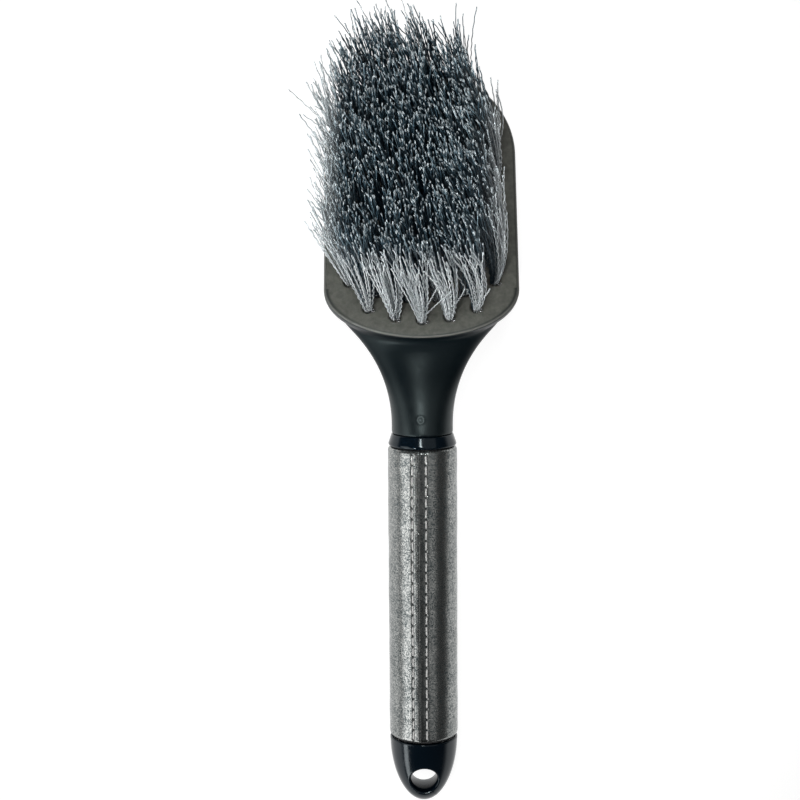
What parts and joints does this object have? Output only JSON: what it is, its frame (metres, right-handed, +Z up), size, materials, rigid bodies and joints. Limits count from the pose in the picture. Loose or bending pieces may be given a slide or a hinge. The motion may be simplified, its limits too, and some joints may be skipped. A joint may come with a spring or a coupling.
{
  "type": "wheel brush",
  "caption": "Hand brush for cleaning wheels and tyres: an angled oval head of grey bristles on a moulded neck, with a fabric-covered handle and a capped end with a hanging hole.",
  "frame": {"origin": "middle of the brush's box, on the table that it lies on", "axes": "+X across the head, +Y from the handle to the head, +Z up, out of the bristles; the brush lies on its back"},
  "size_m": [0.0728, 0.2872, 0.0866],
  "materials": {
    "moulded_black": "fine satin moulding texture, olive-black",
    "gloss_black": "polished black",
    "tube_black": "moulded",
    "pin_steel": "drawn",
    "foam_grey": "closed-cell foam",
    "grip_fabric": "coarse woven silver and charcoal yarn with a slight metallic sheen",
    "thread": "light grey sewing thread",
    "bristle": "crimped grey filament with lighter cut tips",
    "anchor_wire": "bright flat wire"
  },
  "bodies": {
    "root": {"brush_block": "moulded_black", "collar": "gloss_black", "core_tube": "tube_black", "tang_pins": "pin_steel", "foam_sleeve": "foam_grey", "grip_cover": "grip_fabric", "stitches_left": "thread", "stitches_right": "thread", "end_cap": "gloss_black", "cap_pin": "pin_steel", "tuft_anchors": "anchor_wire", "tufts_row_01": "bristle", "tufts_row_02": "bristle", "tufts_row_03": "bristle", "tufts_row_04": "bristle", "tufts_row_05": "bristle", "tufts_row_06": "bristle", "tufts_row_07": "bristle", "tufts_row_08": "bristle", "tufts_row_09": "bristle", "tufts_row_10": "bristle", "tufts_row_11": "bristle", "tufts_row_12": "bristle"}
  },
  "joints": []
}
